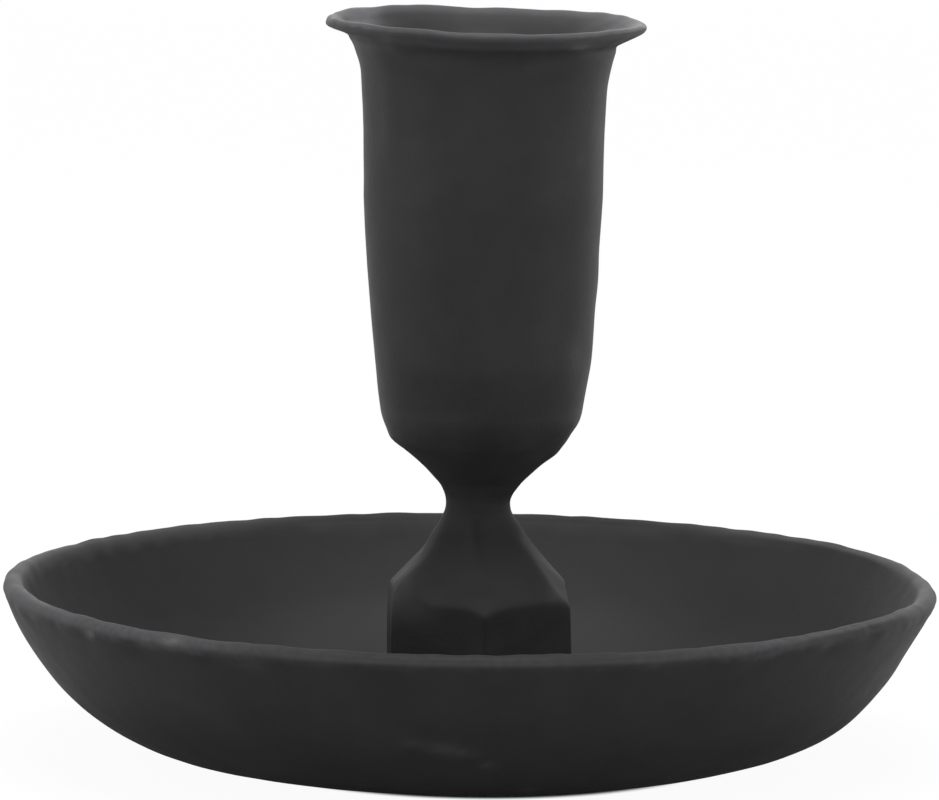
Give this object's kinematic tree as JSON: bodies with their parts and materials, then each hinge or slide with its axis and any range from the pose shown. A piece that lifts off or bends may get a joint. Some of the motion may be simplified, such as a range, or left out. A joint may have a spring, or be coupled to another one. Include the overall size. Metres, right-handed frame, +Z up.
{
  "type": "candle holder",
  "caption": "Black cast iron candle holder: a tall cup with a flared rim, on a thin neck and a hexagonal foot, screwed to the middle of a shallow round dish that catches the wax.",
  "frame": {"origin": "on the socket's upright axis, at the underside of the felt pads, where the holder stands on a table", "axes": "+Z is up, out of the mouth of the cup. -Y points to the side that the picture shows, and +X to its right."},
  "size_m": [0.1, 0.1, 0.0795],
  "materials": {
    "dish_iron": "matt black, with a fine sand-cast grain and slightly worn edges",
    "socket_iron": "matt black, with shallow hammer marks",
    "screw_steel": "zinc-plated steel, dull",
    "felt": "black pressed felt"
  },
  "bodies": {
    "root": {"dish": "dish_iron", "candle_socket": "socket_iron", "fixing_screw": "screw_steel", "felt_pad_1": "felt", "felt_pad_2": "felt", "felt_pad_3": "felt"}
  },
  "joints": []
}
